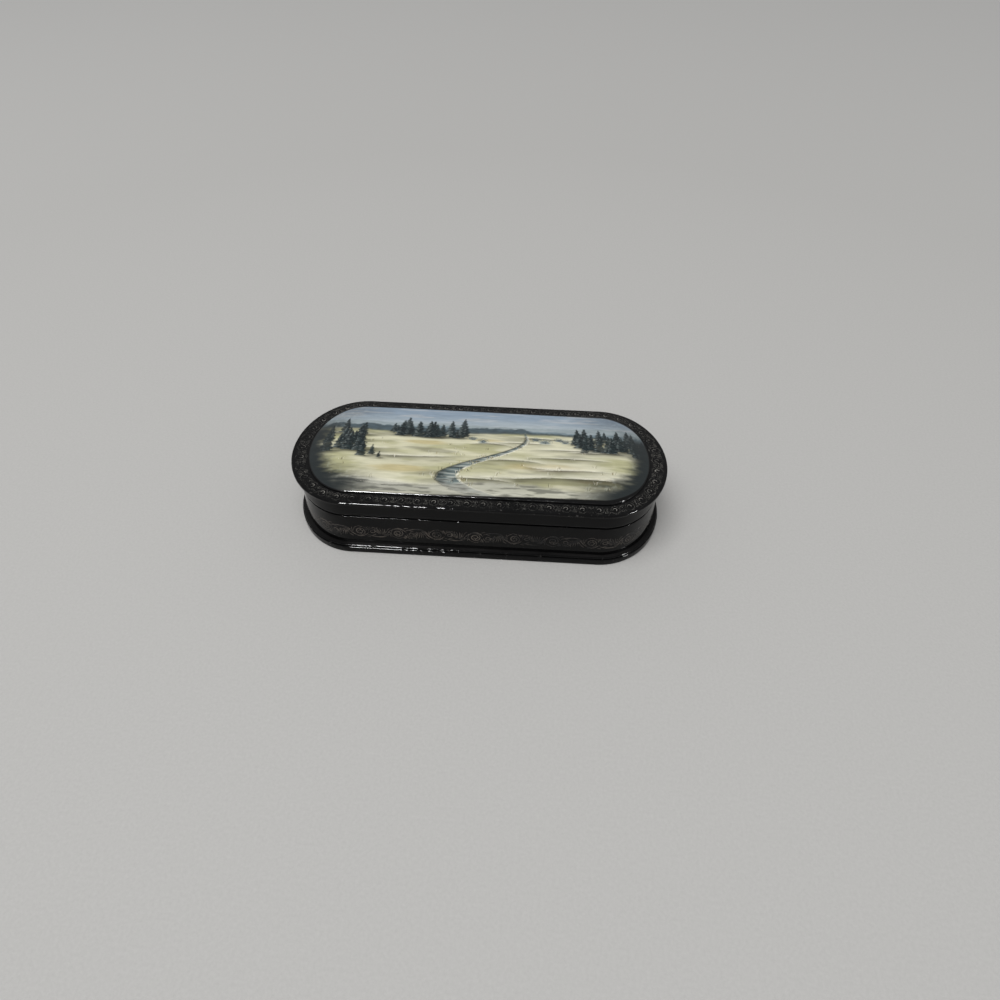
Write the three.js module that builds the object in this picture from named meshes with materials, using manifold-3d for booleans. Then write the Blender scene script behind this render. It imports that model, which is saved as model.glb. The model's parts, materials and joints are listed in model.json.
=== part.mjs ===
// Eyeglass case of lacquered papier-mache with a hinged, domed lid, modelled closed.
// Millimetres, +Z up. +X runs along the case, -Y is the front and the hinge is at the back.
// The origin is the middle of the underside.

import * as THREE from "three";
import { mergeVertices } from "three/addons/utils/BufferGeometryUtils.js";
import Module from "manifold-3d";

const wasm = await Module();
wasm.setup();

// Plan of the lid's outer edge: straight sides joined by half-ellipse ends.
// Every other outline is this one moved out or in by an offset.
const LID_LENGTH = 165.6;
const LID_WIDTH = 69.7;
const END_DEPTH = 29.1; // how far a rounded end runs along X
const END_STEPS = 28; // facets round one end

// Base: a foot, a floor with a bead edge, the outer wall and an inner collar.
const FOOT_INSET = 0.3; // foot edge inside the lid's edge
const FOOT_THICKNESS = 3;
const FOOT_ROUND = 1.3; // radius along the foot's upper edge
const FOOT_EASE = 0.4; // small chamfer along the foot's lower edge
const FLOOR_THICKNESS = 0.9;
const BEAD_REACH = 1.9; // floor bead outside the wall
const WALL_INSET = 2.6; // wall inside the lid's edge
const WALL_THICKNESS = 3.2;
const WALL_EASE = 0.5; // softened upper edge of the wall
const SEAM_HEIGHT = 20; // top of the wall above the table
const COLLAR_THICKNESS = 1.5;
const COLLAR_STAND = 3; // collar above the wall, inside the lid
const COLLAR_EASE = 0.5; // rounded upper edges of the collar

// Lid: a rim, a border plate with a ledge, and the domed panel that lies in the ledge.
const RIM_INSET = 2.3; // rim inside the lid's edge
const RIM_HEIGHT = 7.9;
const RIM_EASE = 0.7; // rounded lower edge of the rim
const PLATE_THICKNESS = 1.7; // border plate at its outer edge
const PLATE_ROUND = 0.8; // radius along the plate's upper edge
const PLATE_EASE = 0.8; // radius along the plate's lower edge
const BORDER_WIDTH = 5.9; // along the sides
const BORDER_END_WIDTH = 7.7; // at the rounded ends
const BORDER_RISE = 0.4; // border from the plate's edge up to the panel
const LEDGE_DEPTH = 1; // panel seat below the border
const LEDGE_WIDTH = 3;
const PANEL_STEP = 0.9; // panel edge above the border
const PANEL_ROUND = 0.7; // radius along the panel's upper edge
const PANEL_CROWN = 2.5; // dome above the panel's edge

// Hinge: alternate knuckles on two leaves let into the back walls, with one pin.
const KNUCKLE_COUNT = 7; // odd, so that the base has the outer two
const KNUCKLE_RADIUS = 1.5;
const HINGE_END_MARGIN = 9; // from the end of the straight back to the hinge
const PIN_RADIUS = 0.7;
const PIN_SHORTFALL = 0.3; // pin end inside the last knuckle
const LEAF_THICKNESS = 0.6;
const BASE_LEAF_DEPTH = 8; // leaf below the hinge axis
const LID_LEAF_DEPTH = 4.6; // leaf above the hinge axis
const OPEN_STOP = THREE.MathUtils.degToRad(105);
const BRAD_SHANK_RADIUS = 0.5;
const BRAD_HEAD_RADIUS = 1;
const BRAD_HEAD_HEIGHT = 0.45;
const BRAD_GRIP = 2.5; // shank inside the wall
const BASE_BRAD_DROP = 4.9; // brads below the hinge axis
const LID_BRAD_RISE = 3.3; // brads above the hinge axis

// Clearances.
const GLUE = 0.1; // glue line between papier-mache pieces
const SEAM_GAP = 0.8; // lid rim above the wall
const COLLAR_CLEARANCE = 0.35; // lid rim round the collar
const KNUCKLE_GAP = 0.3; // between knuckles, and round them
const PIN_CLEARANCE = 0.08;
const LEAF_CLEARANCE = 0.15; // leaf in its slot
const BRAD_CLEARANCE = 0.12;

// Levels and offsets that follow from the sizes above.
const floorBottom = FOOT_THICKNESS + GLUE;
const floorTop = floorBottom + FLOOR_THICKNESS;
const wallBottom = floorTop + GLUE;
const wallInner = -WALL_INSET - WALL_THICKNESS;
const collarOuter = wallInner - GLUE;
const collarTop = SEAM_HEIGHT + COLLAR_STAND;
const rimBottom = SEAM_HEIGHT + SEAM_GAP;
const rimTop = rimBottom + RIM_HEIGHT;
const plateBottom = rimTop + GLUE;
const plateTop = plateBottom + PLATE_THICKNESS;
const borderTop = plateTop + BORDER_RISE;
const ledgeTop = borderTop - LEDGE_DEPTH;
const ledgeInner = -BORDER_WIDTH - LEDGE_WIDTH;
const panelEdge = borderTop + PANEL_STEP;
const panelEndInset = BORDER_END_WIDTH - BORDER_WIDTH;
const straightHalf = LID_LENGTH / 2 - END_DEPTH;
const axisY = LID_WIDTH / 2 - WALL_INSET;
const axisZ = SEAM_HEIGHT + SEAM_GAP / 2;
const rimBackY = LID_WIDTH / 2 - RIM_INSET;
const hingeHalf = straightHalf - HINGE_END_MARGIN;
const knucklePitch = (2 * hingeHalf) / KNUCKLE_COUNT;
const leafY = axisY - KNUCKLE_RADIUS + LEAF_THICKNESS / 2;

const BARREL_FACETS = 24;
const BRAD_FACETS = 16;

const lacquer = new THREE.MeshStandardMaterial({ color: 0x0b0b0d, roughness: 0.16, metalness: 0 });
const redLacquer = new THREE.MeshStandardMaterial({ color: 0x8e1b12, roughness: 0.2, metalness: 0 });
const painted = new THREE.MeshStandardMaterial({ color: 0xb9bb98, roughness: 0.2, metalness: 0 });
const brass = new THREE.MeshStandardMaterial({ color: 0xb08a3e, roughness: 0.32, metalness: 1 });

// The plan outline, counter-clockwise, at a height. The ends can lie further in than the sides.
// A share under 1 draws it in towards the middle line of the case, as the rings of a dome are.
function outline(offset, height, endInset = 0, share = 1) {
  const alongX = (END_DEPTH + offset - endInset) * share;
  const alongY = (LID_WIDTH / 2 + offset) * share;
  const points = [];
  for (const side of [1, -1]) {
    for (let step = 0; step <= END_STEPS; step++) {
      const angle = -Math.PI / 2 + (Math.PI * step) / END_STEPS;
      const x = side * (straightHalf + alongX * Math.cos(angle));
      points.push(new THREE.Vector3(x, side * alongY * Math.sin(angle), height));
    }
  }
  return points;
}

// Skin over a stack of outlines. A ring closes on its first outline, and a plate is capped.
function loft(outlines, isRing) {
  const count = outlines[0].length;
  const indices = [];
  const bands = isRing ? outlines.length : outlines.length - 1;
  for (let band = 0; band < bands; band++) {
    const low = band * count;
    const high = ((band + 1) % outlines.length) * count;
    for (let i = 0; i < count; i++) {
      const next = (i + 1) % count;
      indices.push(low + i, low + next, high + next, low + i, high + next, high + i);
    }
  }
  if (!isRing) {
    const last = (outlines.length - 1) * count;
    const flat = outlines[0].map((p) => new THREE.Vector2(p.x, p.y));
    for (const [a, b, c] of THREE.ShapeUtils.triangulateShape(flat, [])) indices.push(c, b, a);
    const flatTop = outlines.at(-1).map((p) => new THREE.Vector2(p.x, p.y));
    for (const [a, b, c] of THREE.ShapeUtils.triangulateShape(flatTop, [])) {
      indices.push(last + a, last + b, last + c);
    }
  }
  const geometry = new THREE.BufferGeometry().setFromPoints(outlines.flat());
  return geometry.setIndex(indices);
}

// A profile of [offset, height, end inset] points carried round the case.
const carried = (profile) => profile.map((point) => outline(...point));
const ring = (profile) => loft(carried(profile), true);
const plate = (profile) => loft(carried(profile), false);

// A quarter turn or more of a rounded edge, as [offset, height] points. Angle 0 points outwards.
function roundedEdge(offset, height, radius, from, to, steps = 4) {
  return Array.from({ length: steps + 1 }, (_, step) => {
    const angle = THREE.MathUtils.degToRad(from + ((to - from) * step) / steps);
    return [offset + radius * Math.cos(angle), height + radius * Math.sin(angle)];
  });
}

// A closed geometry as a solid, and back.
function solid(geometry) {
  const bare = geometry.clone();
  bare.deleteAttribute("normal");
  bare.deleteAttribute("uv");
  const merged = mergeVertices(bare, 1e-4);
  const vertProperties = merged.attributes.position.array;
  const triVerts = new Uint32Array(merged.index.array);
  return new wasm.Manifold(new wasm.Mesh({ numProp: 3, vertProperties, triVerts }));
}

function geometryOf(made) {
  const { vertProperties, triVerts } = made.getMesh();
  const geometry = new THREE.BufferGeometry();
  geometry.setAttribute("position", new THREE.BufferAttribute(vertProperties, 3));
  return geometry.setIndex(new THREE.BufferAttribute(triVerts, 1));
}

function block(sizeX, sizeY, sizeZ, x, y, z) {
  return solid(new THREE.BoxGeometry(sizeX, sizeY, sizeZ).translate(x, y, z));
}

// A round bar along X on the hinge axis.
function barrel(radius, length, x) {
  const bar = new THREE.CylinderGeometry(radius, radius, length, BARREL_FACETS);
  return solid(bar.rotateZ(Math.PI / 2).translate(x, axisY, axisZ));
}

function footPlate() {
  return plate([
    [-FOOT_INSET - FOOT_EASE, 0],
    [-FOOT_INSET, FOOT_EASE],
    ...roundedEdge(-FOOT_INSET - FOOT_ROUND, FOOT_THICKNESS - FOOT_ROUND, FOOT_ROUND, 0, 90),
  ]);
}

function floorPlate() {
  const beadRadius = FLOOR_THICKNESS / 2;
  const beadMiddle = BEAD_REACH - WALL_INSET - beadRadius;
  return plate(roundedEdge(beadMiddle, floorBottom + beadRadius, beadRadius, -90, 90, 8));
}

// The wall has a groove for the knuckles, a slot for the base leaf and holes for its brads.
function baseWall() {
  const wall = solid(
    ring([
      [-WALL_INSET, wallBottom],
      ...roundedEdge(-WALL_INSET - WALL_EASE, SEAM_HEIGHT - WALL_EASE, WALL_EASE, 0, 90),
      [wallInner, SEAM_HEIGHT],
      [wallInner, wallBottom],
    ]),
  );
  const cuts = [hingeGroove(), leafSlot(-BASE_LEAF_DEPTH), ...baseBradHoles()];
  return geometryOf(cuts.reduce((left, cut) => left.subtract(cut), wall));
}

function baseCollar() {
  const inner = collarOuter - COLLAR_THICKNESS;
  const easeTop = collarTop - COLLAR_EASE;
  return ring([
    [collarOuter, wallBottom],
    ...roundedEdge(collarOuter - COLLAR_EASE, easeTop, COLLAR_EASE, 0, 90, 3),
    ...roundedEdge(inner + COLLAR_EASE, easeTop, COLLAR_EASE, 90, 180, 3),
    [inner, wallBottom],
  ]);
}

// The rim has the same cuts, and its back edge is relieved so that the lid can lean back.
function lidRim() {
  const inner = collarOuter + COLLAR_CLEARANCE;
  const rim = solid(
    ring([
      ...roundedEdge(-RIM_INSET - RIM_EASE, rimBottom + RIM_EASE, RIM_EASE, -90, 0),
      [-RIM_INSET, rimTop],
      [inner, rimTop],
      [inner, rimBottom],
    ]),
  );
  const cuts = [hingeGroove(), leafSlot(LID_LEAF_DEPTH), backRelief(), ...lidBradHoles()];
  return geometryOf(cuts.reduce((left, cut) => left.subtract(cut), rim));
}

function lidPlate() {
  return ring([
    ...roundedEdge(-PLATE_EASE, plateBottom + PLATE_EASE, PLATE_EASE, -90, 0, 3),
    ...roundedEdge(-PLATE_ROUND, plateTop - PLATE_ROUND, PLATE_ROUND, 0, 90),
    [-BORDER_WIDTH, borderTop, panelEndInset],
    [-BORDER_WIDTH, ledgeTop, panelEndInset],
    [ledgeInner, ledgeTop, panelEndInset],
    [ledgeInner, plateBottom, panelEndInset],
  ]);
}

// The panel: a vaulted underside, a flange on the ledge, a rounded step and a dome.
// Both vaults rise by the crown times one less the square of the share.
function lidPanel() {
  const edge = -BORDER_WIDTH - GLUE;
  const flangeBottom = ledgeTop + GLUE;
  const domeEdge = edge - PANEL_ROUND;
  const shares = [0.05, 0.2, 0.4, 0.6, 0.75, 0.88];
  const vault = (offset, height) => (share) =>
    outline(offset, height + PANEL_CROWN * (1 - share * share), panelEndInset, share);
  const step = [
    [ledgeInner, flangeBottom],
    [edge, flangeBottom],
    ...roundedEdge(domeEdge, panelEdge - PANEL_ROUND, PANEL_ROUND, 0, 90),
  ];
  return loft(
    [
      ...shares.map(vault(ledgeInner, flangeBottom)),
      ...carried(step.map((point) => [...point, panelEndInset])),
      ...shares.toReversed().map(vault(domeEdge, panelEdge)),
    ],
    false,
  );
}

// Middle of each knuckle along X. The base has the even ones and the lid the odd ones.
const knuckleX = (index) => -hingeHalf + knucklePitch * (index + 0.5);
const knuckles = Array.from({ length: KNUCKLE_COUNT }, (_, index) => index);
const baseKnuckles = knuckles.filter((index) => index % 2 === 0);
const lidKnuckles = knuckles.filter((index) => index % 2 === 1);

function hingeGroove() {
  return barrel(KNUCKLE_RADIUS + KNUCKLE_GAP, 2 * (hingeHalf + KNUCKLE_GAP), 0);
}

// A slot from the hinge axis to the leaf's far edge. A negative depth runs down.
function leafSlot(depth) {
  const reach = Math.abs(depth) + LEAF_CLEARANCE;
  const middle = axisZ + (Math.sign(depth) * reach) / 2;
  const width = LEAF_THICKNESS + 2 * LEAF_CLEARANCE;
  return block(2 * (hingeHalf + LEAF_CLEARANCE), width, reach, 0, leafY, middle);
}

// Wedge under the rim behind the hinge axis: at the stop its face stands clear along the wall.
function backRelief() {
  const lean = Math.tan(OPEN_STOP - Math.PI / 2);
  const inward = -SEAM_GAP / lean;
  const outward = WALL_INSET;
  const shape = new THREE.Shape([
    new THREE.Vector2(inward, -SEAM_GAP),
    new THREE.Vector2(outward, -SEAM_GAP),
    new THREE.Vector2(outward, SEAM_GAP + outward * lean),
    new THREE.Vector2(inward, SEAM_GAP + inward * lean),
  ]);
  const wedge = new THREE.ExtrudeGeometry(shape, { depth: LID_LENGTH, bevelEnabled: false });
  const across = wedge.rotateX(Math.PI / 2).rotateZ(Math.PI / 2);
  return solid(across.translate(-LID_LENGTH / 2, axisY, axisZ));
}

function bradHole(x, outerY, z) {
  const depth = BRAD_GRIP + BRAD_CLEARANCE;
  const radius = BRAD_SHANK_RADIUS + BRAD_CLEARANCE;
  const bore = new THREE.CylinderGeometry(radius, radius, depth + BRAD_HEAD_HEIGHT, BRAD_FACETS);
  return solid(bore.translate(x, outerY + (BRAD_HEAD_HEIGHT - depth) / 2, z));
}

const baseBradZ = axisZ - BASE_BRAD_DROP;
const lidBradZ = axisZ + LID_BRAD_RISE;
const baseBradHoles = () => baseKnuckles.map((i) => bradHole(knuckleX(i), axisY, baseBradZ));
const lidBradHoles = () => lidKnuckles.map((i) => bradHole(knuckleX(i), rimBackY, lidBradZ));

// A leaf with its knuckles: a strip past the barrel, tongues up to the axis, and bored barrels.
function hingeLeaf(depth, indices, holes) {
  const way = Math.sign(depth);
  const clear = KNUCKLE_RADIUS + KNUCKLE_GAP;
  const strip = Math.abs(depth) - clear;
  const stripZ = axisZ + way * (clear + strip / 2);
  let leaf = block(2 * hingeHalf, LEAF_THICKNESS, strip, 0, leafY, stripZ);
  for (const index of indices) {
    const length = knucklePitch - KNUCKLE_GAP;
    const x = knuckleX(index);
    const tongueReach = clear + LEAF_THICKNESS;
    const tongueZ = axisZ + (way * tongueReach) / 2;
    leaf = leaf.add(block(length, LEAF_THICKNESS, tongueReach, x, leafY, tongueZ));
    leaf = leaf.add(barrel(KNUCKLE_RADIUS, length, x));
  }
  leaf = leaf.subtract(barrel(PIN_RADIUS + PIN_CLEARANCE, LID_LENGTH, 0));
  return geometryOf(holes.reduce((left, hole) => left.subtract(hole), leaf));
}

function hingePin() {
  return geometryOf(barrel(PIN_RADIUS, 2 * (hingeHalf - PIN_SHORTFALL), 0));
}

// A brad along Y with its domed head at the back. Its own origin is under the head.
function brad() {
  const dome = new THREE.EllipseCurve(0, 0, BRAD_HEAD_RADIUS, BRAD_HEAD_HEIGHT, 0, Math.PI / 2);
  const head = dome.getPoints(4).slice(0, -1);
  const profile = [
    new THREE.Vector2(0, -BRAD_GRIP),
    new THREE.Vector2(BRAD_SHANK_RADIUS, -BRAD_GRIP),
    new THREE.Vector2(BRAD_SHANK_RADIUS, 0),
    ...head,
    new THREE.Vector2(0, BRAD_HEAD_HEIGHT),
  ];
  return new THREE.LatheGeometry(profile, BRAD_FACETS);
}

const eyeglassCase = new THREE.Group();

function addPiece(name, geometry, material, x = 0, y = 0, z = 0) {
  const mesh = new THREE.Mesh(geometry, material);
  mesh.name = name;
  mesh.position.set(x, y, z);
  eyeglassCase.add(mesh);
}

addPiece("foot_plate", footPlate(), lacquer);
addPiece("floor_plate", floorPlate(), redLacquer);
addPiece("base_wall", baseWall(), lacquer);
addPiece("base_collar", baseCollar(), redLacquer);
addPiece("lid_rim", lidRim(), lacquer);
addPiece("lid_plate", lidPlate(), lacquer);
addPiece("lid_panel", lidPanel(), painted);
addPiece("hinge_base_leaf", hingeLeaf(-BASE_LEAF_DEPTH, baseKnuckles, baseBradHoles()), brass);
addPiece("hinge_lid_leaf", hingeLeaf(LID_LEAF_DEPTH, lidKnuckles, lidBradHoles()), brass);
addPiece("hinge_pin", hingePin(), brass);
baseKnuckles.forEach((index, place) => {
  addPiece(`base_brad_${place + 1}`, brad(), brass, knuckleX(index), axisY + GLUE, baseBradZ);
});
lidKnuckles.forEach((index, place) => {
  addPiece(`lid_brad_${place + 1}`, brad(), brass, knuckleX(index), rimBackY + GLUE, lidBradZ);
});

export default eyeglassCase;
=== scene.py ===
import json
from math import cos, radians, sin

import bmesh
import bpy
import numpy as np
from bpy.props import FloatProperty, FloatVectorProperty, PointerProperty
from mathutils import Matrix, Vector


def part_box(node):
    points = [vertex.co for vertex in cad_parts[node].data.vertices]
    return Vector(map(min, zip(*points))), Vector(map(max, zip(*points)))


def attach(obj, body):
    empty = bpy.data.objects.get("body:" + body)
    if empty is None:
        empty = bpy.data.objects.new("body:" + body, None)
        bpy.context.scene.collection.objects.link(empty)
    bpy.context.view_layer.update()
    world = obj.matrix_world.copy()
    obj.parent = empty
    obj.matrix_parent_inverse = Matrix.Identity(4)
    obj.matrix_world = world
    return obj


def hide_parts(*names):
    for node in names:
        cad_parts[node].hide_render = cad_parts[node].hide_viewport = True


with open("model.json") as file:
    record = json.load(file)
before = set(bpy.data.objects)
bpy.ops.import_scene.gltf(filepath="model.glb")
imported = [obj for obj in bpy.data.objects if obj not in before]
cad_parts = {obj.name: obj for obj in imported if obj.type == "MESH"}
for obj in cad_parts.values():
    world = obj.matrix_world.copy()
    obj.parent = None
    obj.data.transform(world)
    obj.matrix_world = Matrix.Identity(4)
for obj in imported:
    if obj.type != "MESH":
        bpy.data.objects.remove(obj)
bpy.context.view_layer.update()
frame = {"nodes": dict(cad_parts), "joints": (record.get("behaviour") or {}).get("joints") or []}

bl_info = {
    "name": "Lacquer Eyeglass Case",
    "version": (1, 0, 0),
    "blender": (4, 5, 0),
    "location": "3D View > Sidebar > Eyeglass Case",
    "description": "Builds a lacquered eyeglass case with a painted lid around its packed model",
    "category": "Add Mesh",
}

MM = 0.001
# Rows that draw the flat face of a plate in to its spine
FACE_ROWS = 7
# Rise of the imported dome, and the share of its width at which its topmost ring lies
PACKED_CROWN, PACKED_TOP_SHARE = 2.5 * MM, 0.05
# Points along a brush stroke, a line of the border's filigree and a line of the wall's scroll
STROKE_POINTS, FILIGREE_POINTS, SCROLL_POINTS = 7, 13, 21


def low(node):
    """Height of a node's underside."""
    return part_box(node)[0].z


def high(node):
    """Height of a node's top."""
    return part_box(node)[1].z


def reach(node):
    """Half the width of a node across the case."""
    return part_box(node)[1].y


LID_HALF_WIDTH = reach("lid_plate")
LID_HALF_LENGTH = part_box("lid_plate")[1].x
HINGE = frame["joints"][0]
HINGE_AXIS = Vector(HINGE["pos_m"])
HINGE_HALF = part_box("hinge_base_leaf")[1].x


def inset(node):
    """A node's outline, as its offset from the lid's edge. Inside is negative."""
    return reach(node) - LID_HALF_WIDTH


def end_inset(node):
    """How much further in a node's rounded ends lie than its sides."""
    return LID_HALF_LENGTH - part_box(node)[1].x + inset(node)


def length(name, description, default):
    """A size in metres."""
    return FloatProperty(name=name, description=description, default=default, unit="LENGTH", precision=5)


def angle(name, description, degrees):
    """An angle, given in degrees."""
    return FloatProperty(name=name, description=description, default=radians(degrees), subtype="ANGLE")


def colour(name, description, default):
    """A colour in linear light."""
    return FloatVectorProperty(
        name=name, description=description, default=default, subtype="COLOR", min=0, max=1
    )


class CaseSizes(bpy.types.PropertyGroup):
    """Sizes of the case that its node boxes don't give."""

    end_depth: length("End depth", "How far a rounded end runs along the case", 0.0291)
    foot_round: length("Foot round", "Radius along the foot's upper edge", 0.00035)
    foot_ease: length("Foot ease", "Radius along the foot's lower edge", 0.0004)
    wall_thickness: length("Wall", "Thickness of the base wall", 0.0032)
    wall_ease: length("Wall ease", "Radius along the wall's upper edge", 0.0001)
    collar_thickness: length("Collar", "Thickness of the inner collar", 0.0015)
    collar_ease: length("Collar ease", "Radius along the collar's upper edges", 0.0005)
    rim_ease: length("Rim ease", "Radius along the lid rim's lower edge", 0.0007)
    rim_clearance: length("Rim clearance", "From the collar to the lid rim", 0.00035)
    plate_thickness: length("Border edge", "Thickness of the border plate's edge", 0.0017)
    plate_round: length("Border round", "Radius along the border plate's upper edge", 0.0005)
    plate_ease: length("Border ease", "Radius along the border plate's lower edge", 0.0008)
    border_width: length("Border width", "From the lid's edge to the panel, at the sides", 0.0059)
    ledge_depth: length("Ledge depth", "Panel seat below the border", 0.001)
    ledge_width: length("Ledge width", "Width of the panel's seat", 0.003)
    panel_round: length("Panel round", "Radius along the panel's edge", 0.0007)
    panel_crown: length("Panel crown", "Rise of the dome above the panel's edge", 0.00244)
    groove_radius: length("Hinge groove", "Radius of the groove round the knuckles", 0.0018)


class CaseColours(bpy.types.PropertyGroup):
    """Colours of the finishes, as they are under white light."""

    black: colour("Black lacquer", "Ground of the case", (0.0022, 0.0022, 0.0024))
    haze: colour("Lacquer haze", "Faint haze of handling on the black", (0.0045, 0.0044, 0.0046))
    scuff: colour("Scuffs", "Grey of the rubbed edges", (0.12, 0.115, 0.11))
    dust: colour("Dust", "Film of dust in the corners", (0.016, 0.0155, 0.0155))
    red: colour("Red lacquer", "Inside of the case", (0.36, 0.028, 0.014))
    brass: colour("Brass", "Hinge and brads", (0.60, 0.42, 0.17))
    filigree: colour("Filigree", "Fine scroll on the lid's border", (0.30, 0.29, 0.26))
    scroll: colour("Wall scroll", "Faded scroll on the base wall", (0.088, 0.073, 0.060))


class PaintColours(bpy.types.PropertyGroup):
    """Palette of the painted panel."""

    sky_high: colour("High sky", "Sky at the far edge", (0.255, 0.325, 0.405))
    sky_low: colour("Low sky", "Sky above the hills", (0.44, 0.49, 0.50))
    hills: colour("Hills", "Far hills", (0.13, 0.185, 0.215))
    snow: colour("Snow", "Light snow", (0.63, 0.61, 0.44))
    field: colour("Field", "Warm yellow-green of the field", (0.44, 0.43, 0.255))
    shadow: colour("Shadow", "Olive-grey hollows", (0.066, 0.064, 0.045))
    ochre: colour("Ochre", "Dry grass", (0.50, 0.425, 0.215))
    ice: colour("Ice", "Frozen stream", (0.14, 0.18, 0.178))
    fir: colour("Fir", "Dark teal of the firs", (0.007, 0.012, 0.0135))
    frost: colour("Frost", "Frosted boughs", (0.33, 0.38, 0.37))
    light: colour("Light", "Highest lights of the snow", (0.88, 0.86, 0.74))
    slate: colour("Slate", "Dark fade at the ends", (0.020, 0.025, 0.026))
    cloud: colour("Cloud", "Streaks in the sky", (0.47, 0.49, 0.50))
    pale_ice: colour("Pale ice", "Streaks on the ice", (0.43, 0.46, 0.42))
    bank: colour("Bank", "Dark bank of the stream", (0.055, 0.055, 0.042))
    bough: colour("Bough", "Lighter boughs of the firs", (0.022, 0.036, 0.038))
    front_snow: colour("Front snow", "Grey snow along the front", (0.47, 0.47, 0.41))
    front_shade: colour("Front shade", "Shade along the front", (0.10, 0.10, 0.085))


class CaseStage(bpy.types.PropertyGroup):
    """Camera, floor and light."""

    yaw: angle("Yaw", "Turn of the view", -3.318)
    pitch: angle("Pitch", "View looking down", 44.62)
    roll: angle("Roll", "Turn about the view", 0.594)
    target_x: length("Aim X", "Point that the view looks at", 0.00943)
    target_y: length("Aim Y", "Point that the view looks at", 0.00263)
    distance: length("Distance", "Camera from its aim", 0.35531)
    lens: FloatProperty(name="Lens", description="Focal length", default=27.04, unit="CAMERA")
    floor: colour("Floor", "Plain pale grey under the case", (0.505, 0.50, 0.487))
    key: FloatProperty(name="Key light", description="Soft light from above", default=27.0)
    window: FloatProperty(name="Window", description="Small light in front", default=28.0)
    world: FloatProperty(name="World", description="Even light from all round", default=0.43)


def half_straight(sizes):
    """Half the length of the straight sides, between the rounded ends."""
    return LID_HALF_LENGTH - sizes.end_depth


def plan_path(front_x, back_x, half, end_steps):
    """The plan outline in three arrays, counter-clockwise from the front.

    A point is (spine + depth * lean_x, width * lean_y). Along the straight sides the spine moves
    and the lean points across. Round an end the spine stays and the lean turns half a circle.
    """
    turn = np.linspace(-np.pi / 2, np.pi / 2, end_steps + 1)
    still = np.full(end_steps + 1, half)
    front, back = front_x[1:-1], back_x[1:-1]
    spine = np.concatenate([front, still, back, -still])
    lean_x = np.concatenate([0 * front, np.cos(turn), 0 * back, -np.cos(turn)])
    lean_y = np.concatenate([0 * front - 1, np.sin(turn), 0 * back + 1, -np.sin(turn)])
    return spine, lean_x, lean_y


def even_path(sizes, straight_steps=24, end_steps=96):
    """The plan outline with evenly spaced points, the same at the front and the back."""
    half = half_straight(sizes)
    along = np.linspace(-half, half, straight_steps + 1)
    return plan_path(along, along[::-1], half, end_steps)


def hinge_path(sizes, straight_steps=24, end_steps=96):
    """The plan outline with two points at each end of the hinge, and where the hinge is."""
    half, spare, corner_steps = half_straight(sizes), 0.3 * MM, 5
    stop = HINGE_HALF + spare
    along = np.linspace(-half, half, straight_steps + 1)
    middle = np.linspace(stop, -stop, straight_steps + 1)
    right, left = np.linspace(half, stop, corner_steps), np.linspace(-stop, -half, corner_steps)
    back = np.concatenate([right, middle, left])
    path = plan_path(along, back, half, end_steps)
    at_hinge = np.zeros(len(path[0]), bool)
    first = len(along[1:-1]) + end_steps + 1 + len(right[1:])
    at_hinge[first : first + len(middle)] = True
    return path, at_hinge


def carried(sizes, path, profile, share=1.0, ends_in=0.0):
    """A profile of (offset, height) rows carried round the plan outline.

    A row is the outline moved out by its offset, at its height. Its ends can lie further in than
    its sides, and a share under 1 draws the row in towards the spine.
    """
    spine, lean_x, lean_y = path
    offset, height = np.asarray(profile, float).T[..., None]
    share, ends_in = (
        np.broadcast_to(np.asarray(values, float), offset[:, 0].shape)[:, None]
        for values in (share, ends_in)
    )
    x = spine + (sizes.end_depth + offset - ends_in) * share * lean_x
    y = (LID_HALF_WIDTH + offset) * share * lean_y
    return np.stack([x, y, np.broadcast_to(height, x.shape)], axis=-1)


def arc(offset, height, radius, start, end, steps=6):
    """Points of a rounded edge: the centre plus the radius at angles from start to end."""
    turn = np.radians(np.linspace(start, end, steps + 1))
    return np.stack([offset + radius * np.cos(turn), height + radius * np.sin(turn)], axis=-1)


def line(start, end, steps=1):
    """Even points from one (offset, height) to another."""
    return np.linspace(start, end, steps + 1)


def grid_faces(rows, columns, ring):
    """Quads of a grid that closes round its columns, and over its rows too where it is a ring."""
    row = np.arange(rows if ring else rows - 1)[:, None]
    column = np.arange(columns)[None, :]
    after, above = (column + 1) % columns, (row + 1) % rows
    corners = [(row, column), (row, after), (above, after), (above, column)]
    return np.stack([r * columns + c for r, c in corners], axis=-1).reshape(-1, 4)


def make_piece(name, points, faces, materials, face_material=None, crease=38, paint=None):
    """A mesh piece at the origin with doubled points joined and edges over the crease sharp.

    paint gives each point its colour, before the join.
    """
    mesh = bpy.data.meshes.new(name)
    mesh.from_pydata(points.reshape(-1, 3), [], faces)
    for material in materials:
        mesh.materials.append(material)
    if face_material is not None:
        mesh.polygons.foreach_set("material_index", face_material.astype(np.int32))
    if paint is not None:
        set_attribute(mesh, "paint", paint)
    shell = bmesh.new()
    shell.from_mesh(mesh)
    bmesh.ops.remove_doubles(shell, verts=shell.verts, dist=2e-8)
    shell.to_mesh(mesh)
    shell.free()
    mesh.polygons.foreach_set("use_smooth", np.ones(len(mesh.polygons), bool))
    mesh.set_sharp_from_angle(angle=radians(crease))
    mesh.update()
    piece = bpy.data.objects.new(name, mesh)
    bpy.context.scene.collection.objects.link(piece)
    return piece


def swept_piece(name, points, materials, ring, row_material=None):
    """A piece over a carried grid. row_material gives each band of rows its material."""
    rows, columns = points.shape[:2]
    faces = grid_faces(rows, columns, ring)
    per_face = None
    if row_material is not None:
        per_face = np.repeat(np.asarray(row_material), columns)
    return make_piece(name, points, faces, materials, per_face)


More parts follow.
